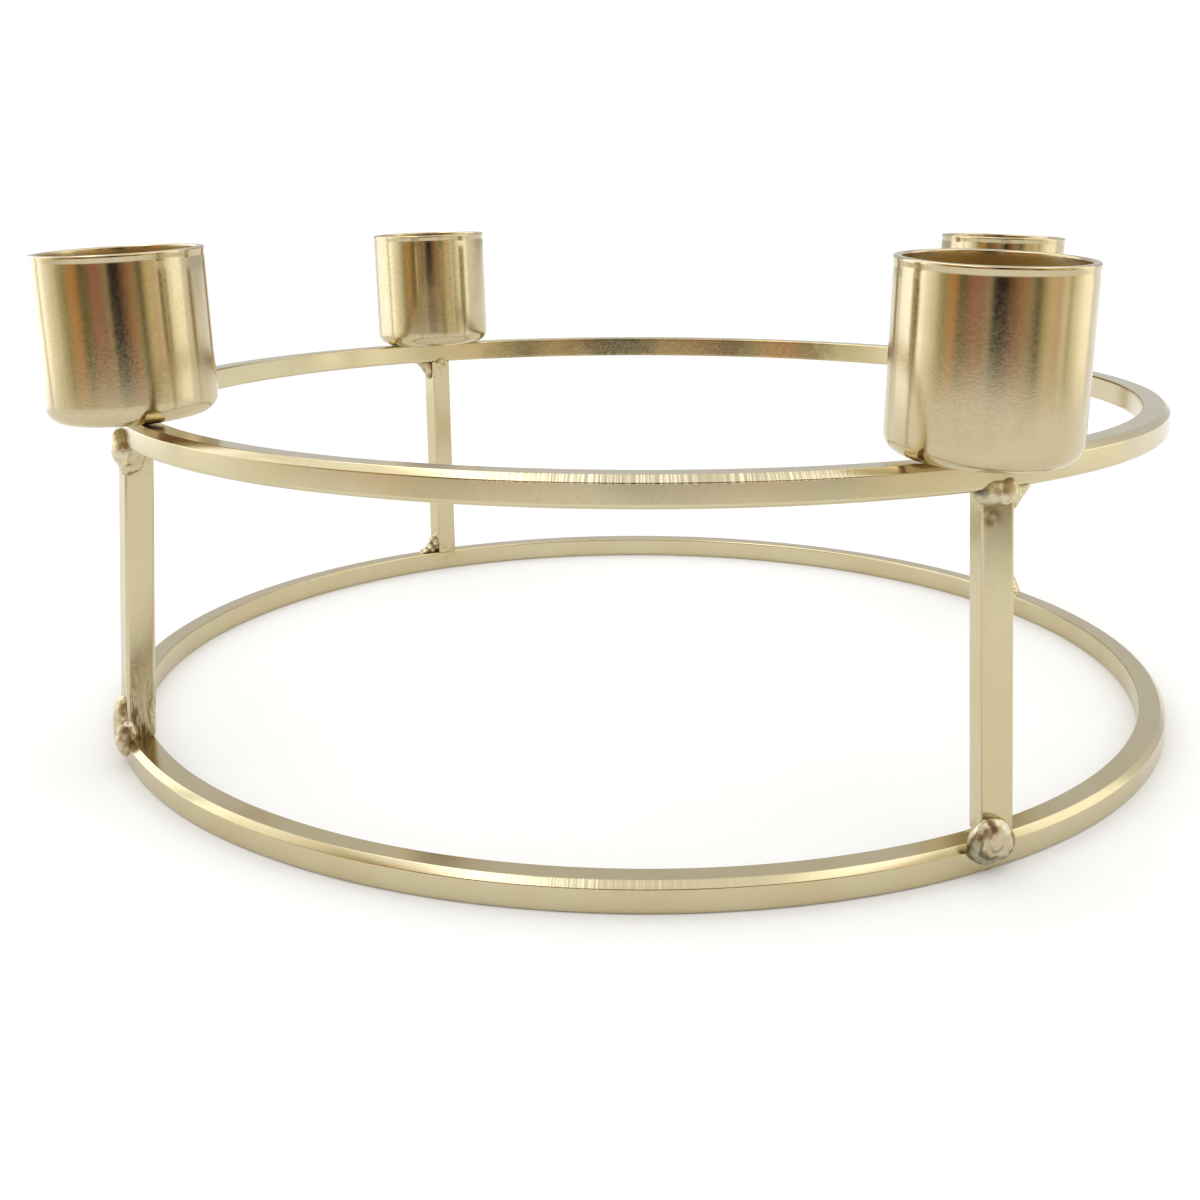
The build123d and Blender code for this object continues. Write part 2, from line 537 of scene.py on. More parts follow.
def bar_section(size, radii, bevel=0.0, bevel_radius=0.0):
    """Points round a square bar's section, from the right side up and round.

    radii are those of its corners: top right, top left, bottom left and bottom right. With a bevel,
    the top right corner is cut off at 45 degrees, that far along each side, instead.
    """
    half = size / 2
    corners = []
    signs = ((1, 1), (-1, 1), (-1, -1), (1, -1))
    for index, (sign, radius) in enumerate(zip(signs, radii)):
        start = index * pi / 2
        if index == 0 and bevel:
            low = Vector((half - bevel_radius, half - bevel))
            high = Vector((half - bevel, half - bevel_radius))
            corner = corner_arc(low, bevel_radius, 0, pi / 4, BEVEL_STEPS)
            corner += corner_arc(high, bevel_radius, pi / 4, pi / 2, BEVEL_STEPS)
        else:
            centre = Vector((sign[0] * (half - radius), sign[1] * (half - radius)))
            corner = corner_arc(centre, radius, start, start + pi / 2, CORNER_STEPS)
        corners.append(corner)
    points = []
    for index, corner in enumerate(corners):
        points += corner
        following = corners[(index + 1) % 4][0]
        points += [corner[-1].lerp(following, share) for share in flat_shares(FLAT_STEPS)]
    return points


def flat_shares(steps):
    """Shares of the way along a flat, closer together near its ends."""
    return [0.5 - 0.5 * cos(pi * step / steps) for step in range(1, steps)]


def grid_mesh(name, loops, close_along, cap_ends=False):
    """A mesh through loops of points, each loop closed on itself."""
    count = len(loops[0])
    vertices = [point for loop in loops for point in loop]
    faces = []
    last = len(loops) if close_along else len(loops) - 1
    for row in range(last):
        after = (row + 1) % len(loops)
        for column in range(count):
            beside = (column + 1) % count
            faces.append(
                (
                    row * count + column,
                    row * count + beside,
                    after * count + beside,
                    after * count + column,
                )
            )
    if cap_ends:
        faces.append(tuple(range(count)))
        faces.append(tuple(reversed(range((len(loops) - 1) * count, len(loops) * count))))
    mesh = bpy.data.meshes.new(name)
    mesh.from_pydata(vertices, [], faces)
    face_outward(mesh)
    return mesh


def face_outward(mesh):
    """Turns every face so that its normal points out of the closed mesh."""
    shape = bmesh.new()
    shape.from_mesh(mesh)
    bmesh.ops.recalc_face_normals(shape, faces=shape.faces)
    shape.to_mesh(mesh)
    shape.free()


def drift(point, size, amount, seed):
    """A smooth random number within about amount either way, for one place."""
    return amount * noise.noise(point / size + Vector((seed, 0, 0)))


# --- Rings and seams -------------------------------------------------------------------------------------

RING_STEPS = 720
OUTER_BEVEL = 0.95 * MM
OUTER_BEVEL_RADIUS = 0.22 * MM
OUTER_LOW_EDGE = 0.6 * MM
INNER_EDGE = 0.4 * MM
RING_WANDER = 0.05 * MM
RING_ROLL = radians(0.7)
HALF_SEAM = 0.6 * MM
SEAM_OVERLAP = 1.3
SEAM_SWELL = 0.005
SEAM_STEPS = 10


def ring_section():
    """The ring bar's section, as (outward, up) from its middle."""
    radii = (0.0, INNER_EDGE, INNER_EDGE, OUTER_LOW_EDGE)
    return bar_section(BAR, radii, OUTER_BEVEL, OUTER_BEVEL_RADIUS)


def ring_loop(ring, angle, section, seed, swell=0.0):
    """The section at one angle round a ring, a little out of true as rolled bar is.

    swell is the share by which the section is larger than the bar's.
    """
    outward = Vector((cos(angle), sin(angle), 0))
    middle = outward * ring.middle + Vector((0, 0, (ring.low + ring.high) / 2))
    push = drift(middle, 26 * MM, RING_WANDER, seed)
    roll = drift(middle, 30 * MM, RING_ROLL, seed + 9)
    loop = []
    for out, up in section:
        out, up = out * cos(roll) - up * sin(roll), out * sin(roll) + up * cos(roll)
        out *= 1 + swell
        up *= 1 + swell
        loop.append(middle + outward * (out + push) + Vector((0, 0, up)))
    return loop


def edge_values(section, rows):
    """1 on the bevel along the upper outer edge and 0 elsewhere, for every vertex of the rows."""
    start = BAR / 2 - OUTER_BEVEL * 1.02
    values = [1.0 if out > start and up > start else 0.0 for out, up in section]
    return values * rows


def inner_values(section, rows):
    """1 on the face towards the middle of the ring and 0 elsewhere."""
    face = -BAR / 2 + INNER_EDGE * 0.6
    values = [1.0 if out < face else 0.0 for out, up in section]
    return values * rows


def build_ring(ring, material, seam_look, seed):
    """A ring as an open hoop, and the ground butt weld that closes it."""
    section = ring_section()
    half_seam = HALF_SEAM / ring.middle
    sweep = tau - 2 * half_seam
    first = ring.seam_at + half_seam
    angles = [first + sweep * step / RING_STEPS for step in range(RING_STEPS + 1)]
    loops = [ring_loop(ring, angle, section, seed) for angle in angles]
    mesh = grid_mesh(ring.node, loops, close_along=False, cap_ends=True)
    set_attribute(mesh, "edge", edge_values(section, len(loops)))
    set_attribute(mesh, "inner", inner_values(section, len(loops)))
    add_object(f"{ring.node}_bar", mesh, material, ring.node)

    loops = []
    for step in range(SEAM_STEPS + 1):
        share = step / SEAM_STEPS
        angle = ring.seam_at + half_seam * SEAM_OVERLAP * (2 * share - 1)
        loops.append(ring_loop(ring, angle, section, seed, swell=SEAM_SWELL * sin(pi * share)))
    mesh = grid_mesh(f"{ring.node}_seam", loops, close_along=False, cap_ends=True)
    add_object(f"{ring.node}_seam", mesh, seam_look, f"{ring.node}_seam_weld")


# --- Posts -----------------------------------------------------------------------------------------------

POST_BAR = 4.4 * MM
POST_EDGE = 0.45 * MM
POST_STEPS = 60
POST_WANDER = 0.04 * MM


def build_post(name, material, seed):
    """A post from the lower ring's top to the upper ring's underside."""
    section = bar_section(POST_BAR, (POST_EDGE,) * 4)
    foot, head = foot_place(name), head_place(name)
    start, end = foot.translation, head.translation
    turn = Matrix.Rotation(radians(FOOT_AT[name] + POST_TWIST[name]), 3, "Z")
    sides = (turn @ Vector((1, 0, 0)), turn @ Vector((0, 1, 0)))
    loops = []
    for step in range(POST_STEPS + 1):
        middle = start.lerp(end, step / POST_STEPS)
        middle += sides[0] * drift(middle, 18 * MM, POST_WANDER, seed)
        middle += sides[1] * drift(middle, 18 * MM, POST_WANDER, seed + 5)
        loops.append([middle + sides[0] * point.x + sides[1] * point.y for point in section])
    mesh = grid_mesh(f"post_{name}", loops, close_along=False, cap_ends=True)
    add_object(f"post_{name}_bar", mesh, material, f"post_{name}")


# --- Candle cups -----------------------------------------------------------------------------------------

# In millimetres; CUP_OUTSIDE is a radius
CUP_OUTSIDE = 12.5
CUP_HEIGHT = 25.0
CUP_WALL = 1.0
CUP_CORNER = 2.5
CUP_INNER_CORNER = 1.5
CUP_LIP = 0.05
CUP_LIP_HEIGHT = 1.2
CUP_NECK = 0.06
CUP_SHOULDER = 1.4
CUP_RIM_RADIUS = 0.3
CUP_OUT_OF_ROUND = 0.06
CUP_RIM_WAVE = 0.05
# How far below the rim the painted ochre of bounced light inside starts
CUP_RIM_DEPTH = 0.8
CUP_STEPS = 256


def arc_points(centre, radius, start, end, steps):
    """Points on an arc, angles in degrees."""
    points = []
    for step in range(steps + 1):
        angle = radians(start + (end - start) * step / steps)
        points.append((centre[0] + radius * cos(angle), centre[1] + radius * sin(angle)))
    return points


def line_points(start, end, steps):
    """Points along a line, without its two ends."""
    shares = [step / steps for step in range(1, steps)]
    return [(start[0] + (end[0] - start[0]) * s, start[1] + (end[1] - start[1]) * s) for s in shares]


def cup_profile():
    """Half the cup's section as (radius, height) in millimetres, from its underside to its floor."""
    corner = (CUP_OUTSIDE - CUP_CORNER, CUP_CORNER)
    inside = CUP_OUTSIDE - CUP_WALL
    inner_corner = (inside - CUP_INNER_CORNER, CUP_WALL + CUP_INNER_CORNER)
    neck = (CUP_OUTSIDE - CUP_NECK, CUP_HEIGHT - CUP_LIP_HEIGHT)
    shoulder = (CUP_OUTSIDE, neck[1] - CUP_SHOULDER)
    lip = CUP_OUTSIDE + CUP_LIP
    rim_top = CUP_HEIGHT - CUP_RIM_RADIUS
    profile = line_points((0.0, 0.0), (corner[0], 0.0), 12)
    profile += arc_points(corner, CUP_CORNER, -90, 0, 12)
    profile += line_points((CUP_OUTSIDE, CUP_CORNER), shoulder, 24)
    profile += [shoulder, *line_points(shoulder, neck, 5), neck]
    profile += line_points(neck, (lip, rim_top), 5)
    profile += arc_points((lip - CUP_RIM_RADIUS, rim_top), CUP_RIM_RADIUS, 0, 90, 7)
    profile += arc_points((inside + CUP_RIM_RADIUS, rim_top), CUP_RIM_RADIUS, 90, 180, 7)
    profile += line_points((inside, rim_top), (inside, inner_corner[1]), 24)
    profile += arc_points(inner_corner, CUP_INNER_CORNER, 0, -90, 8)
    profile += line_points((inner_corner[0], CUP_WALL), (0.0, CUP_WALL), 12)
    return profile


def build_cup(name, material, seed):
    """A drawn cup with a slight lip, very slightly out of round."""
    at = cup_place(name)
    profile = cup_profile()
    loops = []
    for radius, height in profile:
        loop = []
        for step in range(CUP_STEPS):
            angle = tau * step / CUP_STEPS
            round_the_wall = Vector((cos(angle), sin(angle), height / 30))
            share = radius / CUP_OUTSIDE
            wide = radius + drift(round_the_wall, 0.8, CUP_OUT_OF_ROUND, seed) * share
            wave = drift(round_the_wall, 0.7, CUP_RIM_WAVE, seed + 3)
            high = height + wave * share * height / CUP_HEIGHT
            loop.append(at @ Vector((wide * cos(angle) * MM, wide * sin(angle) * MM, high * MM)))
        loops.append(loop)
    mesh = grid_mesh(f"cup_{name}", loops, close_along=False, cap_ends=True)
    inside = []
    for index, (radius, height) in enumerate(profile):
        past_rim = index > len(profile) / 2 and height < CUP_HEIGHT - CUP_RIM_DEPTH
        inside += [1.0 if past_rim else 0.0] * CUP_STEPS
    set_attribute(mesh, "inside", inside)
    add_object(f"cup_{name}", mesh, material, f"candle_cup_{name}")


# --- Welds -----------------------------------------------------------------------------------------------


@dataclass
class Lobe:
    """An ellipsoid of weld metal, in millimetres from the joint: outward, along the ring and up."""

    middle: tuple
    half: tuple


@dataclass
class StainAndPaintedLight:
    """A tinted patch of a weld, in the same axes; strength is how much of its colour shows. Some patches
    are heat colour, some painted shade and some painted highlights.
    """

    middle: tuple
    half: tuple
    colour: tuple
    strength: float


@dataclass
class Weld:
    """A weld's lobes, its stains with painted shade and highlights, how lumpy it is, and the ridges round a
    centre, if it has them.
    """

    lobes: list
    stains_and_painted_light: list = field(default_factory=list)
    lumps: float = 0.06
    ridge_centre: tuple = (0.0, 0.0, 0.0)
    ridge_spacing: float = 1.0
    ridge_depth: float = 0.0


def crescent(centre, radius, start, end, thickness, colour, strength):
    """Patches along an arc on a face that looks outward, angles in degrees."""
    count = max(3, round(abs(radians(end - start)) * radius / thickness / 0.7))
    stains_and_painted_light = []
    for index in range(count):
        share = index / (count - 1)
        angle = radians(start + (end - start) * share)
        along = centre[1] + radius * cos(angle)
        up = centre[2] + radius * sin(angle)
        half = thickness * (0.55 + 0.45 * sin(pi * share))
        stains_and_painted_light.append(StainAndPaintedLight((centre[0], along, up), (2.0, half, half), colour, strength))
    return stains_and_painted_light


def web(side, width, height, direction, thickness=1.3, out=0.0, hollow=1.6):
    """A three-cornered web between a post's side and the ring.

    side is +1 or -1 along the ring, and direction is +1 at a post's foot and -1 at its head. hollow is
    how far the long side curves in: 1 is straight.
    """
    face = side * POST_BAR / MM / 2
    lobes = []
    count = 9
    for index in range(count):
        share = index / (count - 1)
        rise = height * (1 - share) ** hollow
        middle = (out, face + side * width * share, direction * rise * 0.5)
        lobes.append(Lobe(middle, (thickness * (1 - 0.35 * share), 0.55, rise * 0.5 + 0.45)))
    return lobes


# The cream patches on the welds are painted highlights; the brown, olive, grey-green and darkest ones are
# painted shade along creases and hollows
POST_WELDS = {
    "post_foot_weld_left": Weld(
        lobes=[
            Lobe((2.0, 0.2, 1.6), (1.75, 2.1, 5.0)),
            Lobe((1.9, 1.6, 0.8), (1.65, 1.75, 2.4)),
            Lobe((2.1, 0.8, -0.9), (1.4, 2.3, 1.9)),
            Lobe((2.8, 1.9, -0.1), (1.0, 1.3, 1.4)),
        ],
        stains_and_painted_light=[
            StainAndPaintedLight((2.0, 2.6, 1.0), (1.9, 1.2, 2.2), PINK_TINT, 0.6),
            StainAndPaintedLight((2.6, 2.9, 2.7), (1.4, 1.2, 0.6), CREAM_HIGHLIGHT, 0.7),
            StainAndPaintedLight((2.4, 3.1, 1.7), (0.7, 1.2, 0.8), BROWN_HEAT_AND_SHADE, 0.6),
            StainAndPaintedLight((2.0, 3.2, 0.3), (0.5, 1.2, 0.9), BROWN_HEAT_AND_SHADE, 0.7),
            StainAndPaintedLight((3.4, 2.0, 0.2), (0.5, 1.2, 1.2), CREAM_HIGHLIGHT, 0.6),
            StainAndPaintedLight((1.1, 3.0, -0.7), (0.5, 1.2, 0.8), DEEP_SHADE, 0.7),
            StainAndPaintedLight((2.6, 2.4, -2.0), (1.1, 1.2, 0.7), OCHRE_HEAT_AND_SHADE, 0.5),
        ],
        lumps=0.09,
    ),
    "post_head_weld_left": Weld(
        lobes=[
            Lobe((1.6, 0.7, -0.5), (2.2, 2.8, 3.2)),
            Lobe((1.5, 1.0, -3.0), (1.3, 2.0, 2.1)),
            Lobe((0.9, 1.7, -1.6), (1.9, 1.25, 2.9)),
            Lobe((2.4, 0.8, 1.1), (1.25, 1.7, 1.4)),
        ],
        stains_and_painted_light=[
            StainAndPaintedLight((2.1, 2.6, 1.3), (0.8, 1.6, 0.9), OCHRE_HEAT_AND_SHADE, 0.3),
            StainAndPaintedLight((2.8, 2.4, -1.6), (0.7, 1.2, 0.8), CREAM_HIGHLIGHT, 0.6),
            # Painted shade along the sloping crease at the weld's bottom
            StainAndPaintedLight((2.1, 2.7, -4.5), (0.6, 1.2, 0.35), BROWN_HEAT_AND_SHADE, 0.5),
            StainAndPaintedLight((1.3, 2.8, -4.2), (0.6, 1.2, 0.30), BROWN_HEAT_AND_SHADE, 0.7),
            StainAndPaintedLight((0.4, 2.8, -3.9), (0.6, 1.2, 0.28), BROWN_HEAT_AND_SHADE, 0.7),
            StainAndPaintedLight((-0.5, 2.6, -3.4), (0.6, 1.2, 0.35), OCHRE_HEAT_AND_SHADE, 0.7),
        ],
        lumps=0.05,
    ),
    "post_foot_weld_front": Weld(
        lobes=[
            Lobe((2.2, -2.5, 0.1), (1.6, 3.8, 3.1)),
            Lobe((2.6, -0.7, -0.4), (1.2, 2.3, 2.3)),
        ],
        stains_and_painted_light=[
            StainAndPaintedLight((3.5, -2.8, 0.4), (3.0, 1.9, 1.8), PINK_TINT, 0.4),
            *crescent((3.0, -2.8, 0.5), 3.6, 165, 325, 0.60, OLIVE_SHADE, 0.7),
            *crescent((3.0, -2.8, 0.5), 2.95, 175, 300, 0.55, GREEN_GREY_SHADE, 0.95),
            *crescent((3.0, -2.8, 0.6), 2.30, 150, 285, 0.40, OLIVE_SHADE, 0.6),
            *crescent((3.0, -2.6, 0.4), 1.10, 190, 330, 0.28, SLAG_GREY, 0.45),
            *crescent((3.0, -2.8, 0.4), 3.50, 330, 395, 0.40, BROWN_HEAT_AND_SHADE, 0.4),
            StainAndPaintedLight((3.0, -4.4, 1.8), (3.0, 1.2, 0.7), BROWN_HEAT_AND_SHADE, 0.7),
            StainAndPaintedLight((3.0, -2.9, 2.5), (3.0, 0.6, 0.8), BURNT_RED, 0.9),
            StainAndPaintedLight((3.0, -5.5, 2.3), (3.0, 0.9, 0.6), CREAM_HIGHLIGHT, 0.95),
            StainAndPaintedLight((3.0, -0.6, 2.0), (3.0, 0.8, 1.0), CREAM_HIGHLIGHT, 0.85),
        ],
        lumps=0.04,
        ridge_centre=(4.4, -2.8, 0.5),
        ridge_spacing=1.2,
        ridge_depth=0.045,
    ),
    "post_head_weld_front": Weld(
        lobes=[
            *web(1, 2.5, 2.6, -1, thickness=1.6, out=1.1, hollow=1.1),
            Lobe((1.2, -1.0, -0.2), (1.35, 3.4, 2.0)),
            Lobe((1.6, 0.9, -0.5), (1.45, 2.0, 2.1)),
        ],
        stains_and_painted_light=[
            StainAndPaintedLight((2.6, -0.8, 1.3), (2.0, 3.2, 0.45), BROWN_HEAT_AND_SHADE, 0.55),
            StainAndPaintedLight((2.2, -3.6, 0.1), (2.0, 1.1, 0.9), SLAG_GREY, 0.9),
            StainAndPaintedLight((2.6, -1.3, -0.1), (2.0, 0.9, 0.6), BROWN_HEAT_AND_SHADE, 0.55),
            StainAndPaintedLight((2.9, 0.7, 0.3), (2.0, 1.0, 0.7), STRAW_TINT, 0.6),
        ],
        lumps=0.03,
    ),
    "post_foot_weld_back": Weld(
        lobes=web(1, 3.3, 4.3, 1, thickness=1.7),
        stains_and_painted_light=[
            StainAndPaintedLight((-1.4, 2.6, 3.2), (1.5, 0.9, 0.4), DEEP_SHADE, 0.8),
            StainAndPaintedLight((-1.4, 3.3, 2.0), (1.5, 0.35, 1.2), OLIVE_SHADE, 0.9),
            StainAndPaintedLight((-1.4, 4.4, 1.0), (1.5, 0.35, 0.9), DEEP_SHADE, 0.75),
            StainAndPaintedLight((-1.4, 2.7, 0.9), (1.5, 0.35, 1.1), DEEP_SHADE, 0.7),
            StainAndPaintedLight((-1.4, 4.0, 0.1), (1.5, 1.9, 0.28), OLIVE_SHADE, 0.8),
        ],
        lumps=0.13,
        ridge_centre=(-1.5, 2.2, 0.0),
        ridge_spacing=1.0,
        ridge_depth=0.14,
    ),
    "post_head_weld_back": Weld(
        lobes=[*web(1, 3.0, 3.8, -1, thickness=1.6), Lobe((-1.9, 0.0, -0.3), (0.6, 1.9, 1.1))],
        stains_and_painted_light=[
            StainAndPaintedLight((-1.5, 4.6, -0.8), (1.5, 0.7, 0.5), SLAG_GREY, 0.8),
            StainAndPaintedLight((-1.5, 3.6, -2.0), (1.5, 0.4, 0.9), BROWN_HEAT_AND_SHADE, 0.6),
            StainAndPaintedLight((-1.5, 2.4, -3.2), (1.5, 0.5, 0.6), BROWN_HEAT_AND_SHADE, 0.6),
            StainAndPaintedLight((-2.2, -0.6, -0.4), (1.0, 0.9, 0.6), STRAW_TINT, 0.8),
        ],
        lumps=0.10,
    ),
    "post_foot_weld_right": Weld(
        lobes=web(-1, 3.2, 4.9, 1, thickness=1.9, out=0.3, hollow=0.9),
        stains_and_painted_light=[StainAndPaintedLight((0.4, -3.0, 0.4), (2.0, 1.2, 0.6), STRAW_TINT, 0.6)],
        lumps=0.08,
    ),
    "post_head_weld_right": Weld(
        lobes=web(-1, 2.6, 3.0, -1, thickness=1.4),
        stains_and_painted_light=[StainAndPaintedLight((0.6, -3.0, -0.8), (1.2, 1.0, 0.8), STRAW_TINT, 0.6)],
        lumps=0.08,
    ),
}


SKIN_VOXEL = 0.13
RELAX_FACTOR = 0.5
RELAX_ROUNDS = 8


def fused(name, lobes):
    """One closed skin round all the lobes, as a mesh in millimetres about the joint."""
    shape = bmesh.new()
    for lobe in lobes:
        matrix = Matrix.LocRotScale(Vector(lobe.middle), None, Vector(lobe.half))
        bmesh.ops.create_icosphere(shape, subdivisions=4, radius=1.0, matrix=matrix)
    balls = bpy.data.meshes.new(name)
    shape.to_mesh(balls)
    shape.free()
    holder = bpy.data.objects.new(name, balls)
    bpy.context.scene.collection.objects.link(holder)
    remesh = holder.modifiers.new("skin", "REMESH")
    remesh.mode = "VOXEL"
    remesh.voxel_size = SKIN_VOXEL
    relax = holder.modifiers.new("relax", "SMOOTH")
    relax.factor = RELAX_FACTOR
    relax.iterations = RELAX_ROUNDS
    evaluated = holder.evaluated_get(bpy.context.evaluated_depsgraph_get())
    mesh = bpy.data.meshes.new_from_object(evaluated)
    bpy.data.objects.remove(holder)
    bpy.data.meshes.remove(balls)
    return mesh


def ease(share):
    """Smoothly from 0 to 1."""
    share = max(0.0, min(1.0, share))
    return share * share * (3 - 2 * share)


# How far a patch's outline wanders, in millimetres, and where it has faded out, in its half sizes
PATCH_WANDER = 0.45
PATCH_REACH = 1.5


def tint_at(point, stains_and_painted_light, shift):
    """The weld's colour at a point, from the stains, painted shade and painted highlights over it, whose
    outlines wander.
    """
    wander = Vector([noise.noise(point * 1.1 + shift + Vector((0, 0, 7 * axis))) for axis in range(3)])
    colour = Vector(PLATING)
    for stain in stains_and_painted_light:
        offset = point + wander * PATCH_WANDER - Vector(stain.middle)
        reach = Vector([away / half for away, half in zip(offset, stain.half)]).length
        colour = colour.lerp(Vector(stain.colour), stain.strength * ease(PATCH_REACH - reach))
    return colour


# How uncommon pits are, and how deep against the lumps
PIT_FROM = 0.3
PIT_DEPTH = 1.2


def build_weld(name, weld, at, material, seed):
    """A weld bead: fused lobes with lumps, ridges and pits, moved to its joint."""
    mesh = fused(name, weld.lobes)
    shift = Vector((seed, seed * 2.3, 0))
    normals = [vertex.normal.copy() for vertex in mesh.vertices]
    tints = []
    for vertex, normal in zip(mesh.vertices, normals):
        point = vertex.co.copy()
        lumps = noise.noise(point * 0.9 + shift) + noise.noise(point * 2.1 + shift) * 0.5
        pits = max(0.0, noise.noise(point * 3.1 + shift) - PIT_FROM) * -PIT_DEPTH
        turns = (point - Vector(weld.ridge_centre)).length / weld.ridge_spacing
        ridges = weld.ridge_depth * cos(tau * turns + lumps / 2)
        vertex.co = at @ ((point + normal * (weld.lumps * (lumps + pits) + ridges)) * MM)
        tints += [*tint_at(point, weld.stains_and_painted_light, shift), 1.0]
    layer = mesh.attributes.new("tint", "FLOAT_COLOR", "POINT")
    layer.data.foreach_set("color", tints)
    add_object(f"{name}_bead", mesh, material, name)


CUP_WELD_HALF_LENGTH = 3.6


def cup_weld(name):
    """The weld under a cup: a flat row of lobes along the ring that fills the gap under the cup."""
    low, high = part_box(f"cup_weld_{name}")
    height = (high[2] - low[2]) / MM
    lobes = []
    count = 9
    for index in range(count):
        along = -CUP_WELD_HALF_LENGTH + 2 * CUP_WELD_HALF_LENGTH * index / (count - 1)
        lobes.append(Lobe((0.0, along, 0.0), (1.6, 0.95, height + 0.25)))
    # The ochre patches and the darkest one paint the contact shadow under the cup
    stains_and_painted_light = [StainAndPaintedLight((1.4, along, 0.3), (1.8, 1.3, 1.0), OCHRE_HEAT_AND_SHADE, 0.7) for along in (-3.2, 0.0, 3.0)]
    stains_and_painted_light.append(StainAndPaintedLight((1.2, 3.4, 0.4), (1.5, 0.8, 0.6), DEEP_SHADE, 0.7))
    return Weld(lobes, stains_and_painted_light, lumps=0.08)


# --- Studio ----------------------------------------------------------------------------------------------

# The direction that the camera looks in, as a turn from +Y
VIEW_TURN = radians(-30.8)

CAMERA_AT = (0.0, -252.2 * MM, 85.9 * MM)
CAMERA_YAW = -0.01443
CAMERA_PITCH = 0.15442
CAMERA_ROLL = -0.00155
CAMERA_LENS = 41.87
CAMERA_SHIFT = (-0.01613, -0.1458)


def add_camera():
    """The camera, in front of the frame and a little above it."""
    yaw, pitch, roll = CAMERA_YAW, CAMERA_PITCH, CAMERA_ROLL
    forward = Vector((sin(yaw) * cos(pitch), cos(yaw) * cos(pitch), -sin(pitch)))
    level = Vector((cos(yaw), -sin(yaw), 0))
    upright = level.cross(forward)
    right = level * cos(roll) + upright * sin(roll)
    up = upright * cos(roll) - level * sin(roll)
    axes = Matrix((right, up, -forward)).transposed().to_4x4()
    turn = Matrix.Rotation(VIEW_TURN, 4, "Z")
    data = bpy.data.cameras.new("camera")
    data.lens = CAMERA_LENS
    data.shift_x, data.shift_y = CAMERA_SHIFT
    data.clip_start, data.clip_end = 0.01, 50
    camera = bpy.data.objects.new("camera", data)
    camera.matrix_world = turn @ Matrix.Translation(CAMERA_AT) @ axes
    bpy.context.scene.collection.objects.link(camera)
    bpy.context.scene.camera = camera


def add_floor():
    """A wide white board under the frame."""
    shape = bmesh.new()
    bmesh.ops.create_grid(shape, x_segments=40, y_segments=40, size=4.0)
    mesh = bpy.data.meshes.new("floor")
    shape.to_mesh(mesh)
    shape.free()
    mesh.materials.append(floor_material())
    floor = bpy.data.objects.new("floor", mesh)
    bpy.context.scene.collection.objects.link(floor)


# What the plating mirrors, as (turn in degrees from the camera's side to its right, colour)
SURROUND = [
    (-135, (1.7, 1.75, 1.9)),
    (-110, (2.1, 2.15, 2.3)),
    (-101, (1.9, 1.95, 2.0)),
    (-97, (0.75, 0.74, 0.58)),
    (-92, (2.1, 2.15, 2.2)),
    (-84, (1.5, 1.5, 1.45)),
    (-76, (1.3, 1.25, 1.15)),
    (-67, (0.95, 0.90, 0.72)),
    (-58, (0.42, 0.38, 0.19)),
    (-50, (0.66, 0.40, 0.18)),
    (-44, (0.68, 0.34, 0.15)),
    (-37, (0.17, 0.18, 0.07)),
    (-31, (0.26, 0.18, 0.10)),
    (-24, (0.46, 0.21, 0.15)),
    (-16, (0.42, 0.23, 0.15)),
    (-9, (0.44, 0.36, 0.25)),
    (-4, (0.035, 0.025, 0.02)),
    (6, (0.025, 0.016, 0.012)),
    (11, (0.26, 0.13, 0.08)),
    (20, (0.50, 0.28, 0.15)),
    (27, (0.46, 0.37, 0.23)),
    (33, (0.13, 0.115, 0.06)),
    (38, (0.52, 0.43, 0.24)),
    (46, (0.90, 0.76, 0.50)),
    (54, (0.85, 0.62, 0.48)),
    (61, (1.10, 1.05, 0.85)),
    (66, (0.55, 0.53, 0.34)),
    (74, (1.10, 1.08, 0.90)),
    (86, (1.7, 1.65, 1.5)),
    (104, (1.7, 1.7, 1.6)),
]
# The wall's outline as (radius, height) in millimetres
SURROUND_PROFILE = ((372, 0.4), (400, 12), (400, 60), (400, 380))


def surround_material():
    """Light from the room round the camera, in upright streaks that fade a little near the table."""
    material, graph = new_material("room_light")
    point = graph.object_point()
    axes = graph.add("SeparateXYZ", {0: point})
    across, ahead = axes.outputs[0], graph.math("MULTIPLY", axes.outputs[1], -1.0)
    turn = graph.math("MULTIPLY", graph.math("ARCTAN2", across, ahead), 180 / pi)
    wobble = graph.noise(graph.stretched(point, (1, 1, 0.25)), 50 * MM, detail=3.0)
    turn = graph.math("ADD", turn, graph.remap(wobble, 0.3, 0.7, -1.5, 1.5))
    first, last = SURROUND[0][0], SURROUND[-1][0]
    share = graph.math("DIVIDE", graph.math("SUBTRACT", turn, first), last - first)
    stops = [((angle - first) / (last - first), colour) for angle, colour in SURROUND]
    colour = graph.ramp(share, stops)
    low = graph.remap(axes.outputs[2], 0.0, 14 * MM, 0.35, 0.0)
    colour = graph.mix(low, colour, (*TABLE_GLOW, 1))
    light = graph.add("Emission", {"Color": colour, "Strength": 1.0})
    graph.add("OutputMaterial", {"Surface": light.outputs[0]})
    return material


